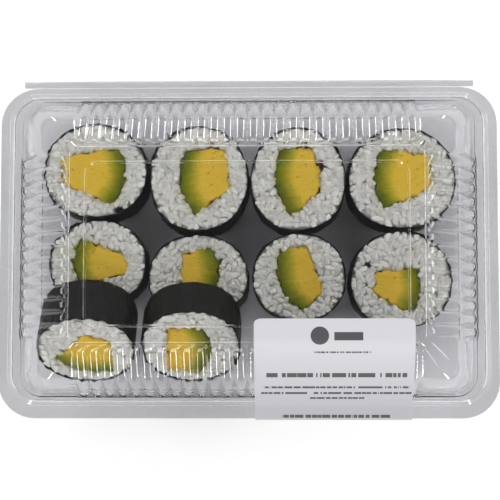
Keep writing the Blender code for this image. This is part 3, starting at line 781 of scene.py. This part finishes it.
class Shader:
    """Short calls for building one material's or one group's nodes."""

    def __init__(self, tree):
        self.tree = tree

    def add(self, kind, settings=None, **inputs):
        """A node with its settings and inputs, by name or as i and a number; an input is a value or a socket."""
        node = self.tree.nodes.new("ShaderNode" + kind)
        for key, value in (settings or {}).items():
            setattr(node, key, value)
        for key, value in inputs.items():
            numbered = key[0] == "i" and key[1:].isdigit()
            self.feed(node.inputs[int(key[1:]) if numbered else key.replace("_", " ")], value)
        return node

    def feed(self, socket, value):
        """Links a socket to a socket, or sets its value."""
        if isinstance(value, bpy.types.NodeSocket):
            self.tree.links.new(value, socket)
        else:
            socket.default_value = value

    def attribute(self, name):
        """A number that a piece carries at its points."""
        return self.add("Attribute", {"attribute_name": name}).outputs["Fac"]

    def maths(self, operation, *values):
        """A maths node's result."""
        node = self.add("Math", {"operation": operation})
        for socket, value in zip(node.inputs, values):
            self.feed(socket, value)
        return node.outputs[0]

    def mix(self, share, low, high):
        """A colour between two others."""
        node = self.add("Mix", {"data_type": "RGBA"})
        for index, value in ((0, share), (6, low), (7, high)):
            self.feed(node.inputs[index], value)
        return node.outputs[2]

    def ramp(self, value, stops):
        """A colour ramp through stops of (place, colour)."""
        node = self.add("ValToRGB")
        ramp = node.color_ramp
        while len(ramp.elements) < len(stops):
            ramp.elements.new(0.5)
        for element, (place, colour) in zip(ramp.elements, stops):
            element.position = place
            element.color = colour
        self.feed(node.inputs[0], value)
        return node.outputs[0]

    def between(self, value, low, high):
        """How far a value is from low to high, kept between 0 and 1."""
        node = self.add("MapRange", {"clamp": True}, Value=value)
        node.inputs["From Min"].default_value = low
        node.inputs["From Max"].default_value = high
        return node.outputs[0]


def new_material(name, **values):
    """A material with its Principled shader, and a helper for its nodes."""
    material = bpy.data.materials.new(name)
    material.use_nodes = True
    principled = material.node_tree.nodes["Principled BSDF"]
    for key, value in values.items():
        principled.inputs[key.replace("_", " ")].default_value = value
    return material, Shader(material.node_tree), principled


def new_group(name, inputs, outputs):
    """An empty node group with float inputs of given defaults, a Vector input first, and float outputs."""
    tree = bpy.data.node_groups.new(name, "ShaderNodeTree")
    tree.interface.new_socket("Vector", in_out="INPUT", socket_type="NodeSocketVector")
    for key, value in inputs.items():
        tree.interface.new_socket(key, in_out="INPUT", socket_type="NodeSocketFloat").default_value = value
    for key in outputs:
        tree.interface.new_socket(key, in_out="OUTPUT", socket_type="NodeSocketFloat")
    return tree, Shader(tree), tree.nodes.new("NodeGroupInput"), tree.nodes.new("NodeGroupOutput")


def mottle_group():
    """Uneven tone over a surface: coarse and fine noise, each with its own size and share, about 0.5."""
    tree, make, entry, leave = new_group(
        "Mottle", {"Coarse scale": 120.0, "Fine scale": 700.0, "Fine share": 0.35}, ("Tone",)
    )
    coarse = make.add("TexNoise", Vector=entry.outputs["Vector"], Scale=entry.outputs["Coarse scale"], Detail=2.0)
    fine = make.add("TexNoise", Vector=entry.outputs["Vector"], Scale=entry.outputs["Fine scale"], Detail=3.0)
    steady = make.maths("SUBTRACT", 1.0, entry.outputs["Fine share"])
    tone = make.maths(
        "ADD",
        make.maths("MULTIPLY", coarse.outputs[0], steady),
        make.maths("MULTIPLY", fine.outputs[0], entry.outputs["Fine share"]),
    )
    make.feed(leave.inputs[0], tone)
    return tree


def print_bar_group():
    """A printed bar in the label's own millimetres: 1 inside the bar, with gaps where noise along it is low."""
    tree, make, entry, leave = new_group(
        "Print bar",
        {"Middle": 30.0, "Half length": 10.0, "Line": 10.0, "Half height": 0.5, "Gaps": 0.0, "Gap scale": 1.0},
        ("Mask",),
    )
    split = make.add("SeparateXYZ", Vector=entry.outputs["Vector"])
    across = make.maths("ABSOLUTE", make.maths("SUBTRACT", split.outputs[0], entry.outputs["Middle"]))
    down = make.maths("ABSOLUTE", make.maths("SUBTRACT", split.outputs[1], entry.outputs["Line"]))
    inside = make.maths(
        "MULTIPLY",
        make.maths("LESS_THAN", across, entry.outputs["Half length"]),
        make.maths("LESS_THAN", down, entry.outputs["Half height"]),
    )
    place = make.add("CombineXYZ", X=split.outputs[0], Y=make.maths("MULTIPLY", entry.outputs["Line"], 7.0))
    noise = make.add("TexNoise", Vector=place.outputs[0], Scale=entry.outputs["Gap scale"], Detail=1.0)
    solid = make.maths("GREATER_THAN", noise.outputs[0], entry.outputs["Gaps"])
    make.feed(leave.inputs[0], make.maths("MULTIPLY", inside, solid))
    return tree


def use_group(make, tree, vector, **values):
    """Places a group in a material with its own values."""
    node = make.add("Group", {"node_tree": tree})
    make.feed(node.inputs["Vector"], vector)
    for key, value in values.items():
        node.inputs[key.replace("_", " ")].default_value = value
    return node


def once(blocks, name, build):
    """A material or node group, built the first time it is asked for."""
    return blocks.get(name) or build()


def object_vector(make):
    """Object coordinates of the piece."""
    return make.add("TexCoord").outputs["Object"]


def mottled(make, vector, coarse, fine, share):
    """Uneven tone over a surface, from the mottle group."""
    mottle = once(bpy.data.node_groups, "Mottle", mottle_group)
    return use_group(make, mottle, vector, Coarse_scale=coarse, Fine_scale=fine, Fine_share=share).outputs[0]


def add_bump(make, principled, height, strength, distance):
    """Small relief in the material."""
    bump = make.add("Bump", Strength=strength, Distance=distance, Height=height)
    make.feed(principled.inputs["Normal"], bump.outputs[0])


def shaded(colour, share=1.0):
    """A colour made darker or lighter, with an alpha of one."""
    return (*(part * share for part in colour), 1.0)


def clear_plastic():
    """Clear thermoformed sheet: smooth glass with faint waves, which lets light through its shadow."""
    tint = shaded(bpy.context.scene.sushi_pack.plastic_tint)
    material, make, principled = new_material(
        "Clear plastic", Base_Color=tint, Roughness=0.045, IOR=1.5, Transmission_Weight=1.0
    )
    add_bump(make, principled, mottled(make, object_vector(make), 45.0, 210.0, 0.25), 0.06, 0.0006)
    output = next(n for n in material.node_tree.nodes if n.type == "OUTPUT_MATERIAL")
    path = make.add("LightPath")
    clear = make.add("BsdfTransparent", Color=(0.88, 0.88, 0.88, 1.0))
    mixed = make.add("MixShader", i0=path.outputs["Is Shadow Ray"], i1=principled.outputs[0], i2=clear.outputs[0])
    make.feed(output.inputs[0], mixed.outputs[0])
    return material


def label_paper():
    """Smooth white paper, darker towards its folded end, with plain printed bars and a plain round mark."""
    pack = bpy.context.scene.sushi_pack
    material, make, principled = new_material("Label paper", Roughness=0.5)
    uv = make.add("UVMap", {"uv_map": "label"}).outputs[0]
    split = make.add("SeparateXYZ", Vector=uv)
    disc_x, disc_y, disc_size = LABEL_DISC
    out = [make.maths("SUBTRACT", split.outputs[k], place) for k, place in ((0, disc_x), (1, disc_y))]
    ink = make.maths("LESS_THAN", make.maths("ADD", *[make.maths("MULTIPLY", o, o) for o in out]), disc_size)
    for middle, half, line, height, gaps, scale in LABEL_BARS:
        bar = use_group(
            make, once(bpy.data.node_groups, "Print bar", print_bar_group), uv, Middle=middle, Half_length=half,
            Line=line, Half_height=height, Gaps=gaps, Gap_scale=scale,
        )
        ink = make.maths("MAXIMUM", ink, bar.outputs[0])
    # Painted shade: the paper turns to a darker copy of itself along the label, towards its folded end over the flange
    lower = make.maths("MULTIPLY", make.between(split.outputs[1], 8.0, 46.0), 0.85)
    paper = make.mix(lower, shaded(pack.paper), shaded(pack.paper, 0.62))
    colour = make.mix(make.maths("MULTIPLY", ink, 0.9), paper, shaded(pack.ink))
    make.feed(principled.inputs["Base Color"], colour)
    return material


def seaweed():
    """Dark seaweed sheet: mottled black-green, slightly glossy and finely wrinkled."""
    nori = bpy.context.scene.sushi_food.nori
    material, make, principled = new_material("Seaweed", Roughness=0.5, Specular_IOR_Level=0.14)
    mottle = mottled(make, object_vector(make), 260.0, 1400.0, 0.5)
    tone = make.between(mottle, 0.34, 0.66)
    make.feed(principled.inputs["Base Color"], make.mix(tone, shaded(nori, 0.45), shaded(nori, 2.6)))
    add_bump(make, principled, mottle, 0.6, 0.0005)
    return material


def rice():
    """Moist cooked rice: warm white, darker deep between grains and tinted yellow-green next to the slice."""
    white = bpy.context.scene.sushi_food.rice
    material, make, principled = new_material(
        "Rice", Roughness=0.3, Subsurface_Weight=0.4, Subsurface_Scale=0.0012, Subsurface_Radius=(1.0, 0.97, 0.9)
    )
    mottle = mottled(make, object_vector(make), 330.0, 1500.0, 0.3)
    tone = make.maths("ADD", make.between(mottle, 0.3, 0.7), make.attribute("tone"))
    base = make.mix(make.maths("MULTIPLY", tone, 0.5), shaded(white, 0.66), shaded(white))
    # Painted shade: the rice turns darker where a point lies deep below its cut face, between the grains
    base = make.mix(make.between(make.attribute("depth_mm"), 1.15, 2.9), base, shaded(white, 0.27))
    near = make.between(make.attribute("near_slice"), 0.12, 0.8)
    stain = make.maths("MULTIPLY", near, make.between(mottle, 0.42, 0.58))
    base = make.mix(make.maths("MULTIPLY", stain, 0.8), base, linear(146, 142, 58))
    make.feed(principled.inputs["Base Color"], base)
    add_bump(make, principled, mottle, 0.15, 0.0002)
    return material


def avocado():
    """Avocado flesh: dark green at the skin side, then light green, then yellow, with fibres that run from the
    skin side inwards, browned edges and small dark specks."""
    food = bpy.context.scene.sushi_food
    material, make, principled = new_material("Avocado", Roughness=0.5, Specular_IOR_Level=0.16)
    place = object_vector(make)
    mottle = mottled(make, place, 150.0, 900.0, 0.4)
    green, along, edge = (make.attribute(name) for name in ("green_mm", "along_mm", "edge_mm"))
    fibre_place = make.add("CombineXYZ", X=make.maths("MULTIPLY", green, 0.16), Y=make.maths("MULTIPLY", along, 1.5))
    fibres = make.add("TexNoise", Vector=fibre_place.outputs[0], Scale=1.0, Detail=3.0).outputs[0]
    wobble = make.maths("MULTIPLY", make.maths("SUBTRACT", mottle, 0.5), 5.5)
    threads = make.maths("MULTIPLY", make.maths("SUBTRACT", fibres, 0.5), 2.2)
    shade = make.between(make.maths("ADD", make.maths("ADD", green, wobble), threads), 0.0, 10.0)
    yellow = shaded(food.avocado_yellow)
    flesh = make.ramp(shade, [
        (0.0, linear(66, 72, 1)), (0.16, shaded(food.avocado_green)), (0.38, linear(118, 118, 6)),
        (0.56, linear(150, 136, 26)), (0.76, yellow), (1.0, yellow),
    ])
    streak = make.maths("MULTIPLY", make.between(fibres, 0.35, 0.68), make.between(green, 3.0, 9.0))
    flesh = make.mix(make.maths("MULTIPLY", streak, 0.5), flesh, linear(194, 168, 74))
    browned = make.maths("MULTIPLY", make.between(edge, 1.0, 0.0), make.between(green, 4.0, 8.0))
    browned = make.maths("MULTIPLY", browned, make.between(mottle, 0.38, 0.58))
    flesh = make.mix(make.maths("MULTIPLY", browned, 0.8), flesh, linear(150, 104, 24))
    specks = make.add("TexNoise", Vector=place, Scale=620.0, Detail=1.0).outputs[0]
    flesh = make.mix(make.maths("MULTIPLY", make.between(specks, 0.66, 0.72), 0.55), flesh, linear(118, 88, 22))
    make.feed(principled.inputs["Base Color"], flesh)
    add_bump(make, principled, make.maths("ADD", mottle, fibres), 0.5, 0.0005)
    return material


# Operators

OPERATORS = []


def operator(name, label):
    """Makes an operator of the function below it, with its docstring as the description, and lists it."""

    def listed(make):
        def execute(self, context):
            make()
            return {"FINISHED"}

        values = {"__doc__": make.__doc__, "bl_idname": f"sushi.{name}", "bl_label": label, "execute": execute}
        OPERATORS.append(type(f"SUSHI_OT_{name}", (bpy.types.Operator,), values))
        return make

    return listed


@operator("tray", "Clear tray")
def make_tray():
    """Makes the clear ribbed tray"""
    depth = bpy.context.scene.sushi_pack.tray_rib_depth
    plastic = once(bpy.data.materials, "Clear plastic", clear_plastic)
    piece = make_sheet("clear_tray", TRAY_ROWS, 3, 6, False, False, depth, plastic)
    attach(piece, "tray")
    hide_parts("tray")


@operator("lid", "Clear lid")
def make_lid():
    """Makes the clear ribbed lid"""
    depth = bpy.context.scene.sushi_pack.lid_rib_depth
    plastic = once(bpy.data.materials, "Clear plastic", clear_plastic)
    piece = make_sheet("clear_lid", LID_ROWS, 4, 7, True, True, depth, plastic)
    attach(piece, "lid")
    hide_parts("lid")


@operator("hinge", "Hinge film")
def make_hinge():
    """Makes the folded film that joins tray and lid"""
    front, axis = FLANGE_HALF_Y + 0.3, FLANGE_HALF_Y + 2.1
    between = (front + axis) / 2
    turns = np.radians(np.linspace(-90, 90, 13))
    fold = np.stack((axis + FOLD_RADIUS * np.cos(turns), FOLD_LEVEL + FOLD_RADIUS * np.sin(turns)), axis=1)
    path = np.concatenate(([(front, 23.35), (between, 23.34)], fold, [(between, 24.16), (front, 24.15)]))
    path[:, 0] += PLAN_SHIFT_Y
    half = np.full(len(path), FOLD_HALF_LENGTH)
    grid = ribbon(path, -0.17, 0.17, (-half, half), 60)
    plastic = once(bpy.data.materials, "Clear plastic", clear_plastic)
    piece = new_piece("hinge_film", grid.reshape(-1, 3), tube_faces(*grid.shape[:2]), plastic)
    piece.data.set_sharp_from_angle(angle=SHARP_ANGLE)
    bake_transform(piece)
    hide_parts("hinge_strip")


@operator("label", "Paper label")
def make_label():
    """Makes the folded paper label"""
    path, along = bent_path(LABEL_PATH, LABEL_BEND, 0.55)
    path[:, 0] += PLAN_SHIFT_Y
    near_end = np.clip(LABEL_CORNER - along, 0, LABEL_CORNER)
    trim = LABEL_CORNER - np.sqrt(np.clip(LABEL_CORNER**2 - near_end**2, 0, None))
    grid = ribbon(path, -0.05, -0.25, (LABEL_LEFT + trim, LABEL_LEFT + LABEL_WIDTH - trim), 40)
    paper = once(bpy.data.materials, "Label paper", label_paper)
    piece = new_piece("paper_label", grid.reshape(-1, 3), tube_faces(*grid.shape[:2]), paper)
    piece.data.set_sharp_from_angle(angle=SHARP_ANGLE)
    mesh = piece.data
    corners = np.empty(len(mesh.loops), np.int32)
    mesh.loops.foreach_get("vertex_index", corners)
    flat = np.stack((grid[..., 0].ravel() - LABEL_LEFT, np.repeat(along, grid.shape[1])), axis=1)
    layer = mesh.uv_layers.new(name="label")
    layer.uv.foreach_set("vector", flat[corners].astype(np.float32).ravel())
    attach(piece, "lid")
    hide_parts("label")


@operator("wraps", "Seaweed wraps")
def make_wraps():
    """Makes the seaweed wraps of the ten rolls"""
    for roll in ROLLS:
        make_wrap(roll, once(bpy.data.materials, "Seaweed", seaweed))


@operator("rice", "Rice")
def make_all_rice():
    """Makes the rice of the ten rolls, grain by grain"""
    for roll in ROLLS:
        make_rice(roll, once(bpy.data.materials, "Rice", rice))


@operator("avocado", "Avocado slices")
def make_slices():
    """Makes the avocado slices of the ten rolls"""
    for roll in ROLLS:
        make_slice(roll, once(bpy.data.materials, "Avocado", avocado))


def aim(thing, place, target, up=(0, 1, 0)):
    """Puts a camera or light at a place and turns it to a target, with up as its own upward side."""
    place, target = Vector(place), Vector(target)
    back = (place - target).normalized()
    side = Vector(up).cross(back).normalized()
    thing.matrix_world = Matrix.Translation(place) @ Matrix((side, back.cross(side), back)).transposed().to_4x4()


def softbox(name, place, target, size, power):
    """A rectangular soft light."""
    data = bpy.data.lights.new(name, "AREA")
    data.shape = "RECTANGLE"
    data.size, data.size_y = size
    data.energy = power
    light = bpy.data.objects.new(name, data)
    bpy.context.scene.collection.objects.link(light)
    aim(light, place, target, (0, 0, 1))


@operator("stage", "Stage")
def make_stage():
    """Makes the floor, lights and camera"""
    scene = bpy.context.scene
    stage = scene.sushi_stage
    mesh = bpy.data.meshes.new("floor")
    mesh.from_pydata([(-3, -3, -0.0003), (3, -3, -0.0003), (3, 3, -0.0003), (-3, 3, -0.0003)], [], [(0, 1, 2, 3)])
    material, _, _ = new_material("Floor", Base_Color=(0.97, 0.97, 0.97, 1.0), Roughness=0.9)
    mesh.materials.append(material)
    floor = bpy.data.objects.new("floor", mesh)
    scene.collection.objects.link(floor)
    for name, azimuth, elevation, size, share in SOFTBOXES:
        across, up = math.radians(azimuth), math.radians(elevation)
        place = np.array((math.cos(across) * math.cos(up), math.sin(across) * math.cos(up), math.sin(up)))
        softbox(name, place * LIGHT_DISTANCE, (0, 0, 0.02), size, stage.softbox_strength * share)
    world = bpy.data.worlds.new("Pale room")
    world.use_nodes = True
    background = world.node_tree.nodes["Background"]
    background.inputs[0].default_value = (1.0, 1.0, 1.0, 1.0)
    background.inputs[1].default_value = 0.09
    scene.world = world
    data = bpy.data.cameras.new("camera")
    data.lens = stage.lens
    data.sensor_width = 36.0
    camera = bpy.data.objects.new("camera", data)
    scene.collection.objects.link(camera)
    aim(camera, (0.0168, -0.0518, stage.camera_distance), (0.0007, -0.0003, 0.024))
    scene.camera = camera
    scene.view_settings.view_transform = "Standard"


class SUSHI_PT_panel(bpy.types.Panel):
    """Lists the pieces of the sushi tray"""

    bl_idname = "SUSHI_PT_panel"
    bl_label = "Sushi Tray"
    bl_space_type = "VIEW_3D"
    bl_region_type = "UI"
    bl_category = "Sushi Tray"

    def draw(self, context):
        for group in (context.scene.sushi_pack, context.scene.sushi_food, context.scene.sushi_stage):
            box = self.layout.box()
            for key in group.__annotations__:
                box.prop(group, key)
        for operator in OPERATORS:
            self.layout.operator(operator.bl_idname)


SETTINGS = {"sushi_pack": SushiPackSettings, "sushi_food": SushiFoodSettings, "sushi_stage": SushiStageSettings}


def register():
    """Registers the settings, operators and panel."""
    for name, group in SETTINGS.items():
        bpy.utils.register_class(group)
        setattr(bpy.types.Scene, name, bpy.props.PointerProperty(type=group))
    for kind in (*OPERATORS, SUSHI_PT_panel):
        bpy.utils.register_class(kind)


def unregister():
    """Removes the settings, operators and panel."""
    for kind in (SUSHI_PT_panel, *reversed(OPERATORS)):
        bpy.utils.unregister_class(kind)
    for name, group in SETTINGS.items():
        delattr(bpy.types.Scene, name)
        bpy.utils.unregister_class(group)


def main():
    """Makes every piece and the stage, and writes both boxes."""
    register()
    bpy.ops.sushi.tray()
    bpy.ops.sushi.lid()
    bpy.ops.sushi.hinge()
    bpy.ops.sushi.label()
    bpy.ops.sushi.wraps()
    bpy.ops.sushi.rice()
    bpy.ops.sushi.avocado()
    bpy.ops.sushi.stage()


if __name__ == "__main__":
    main()
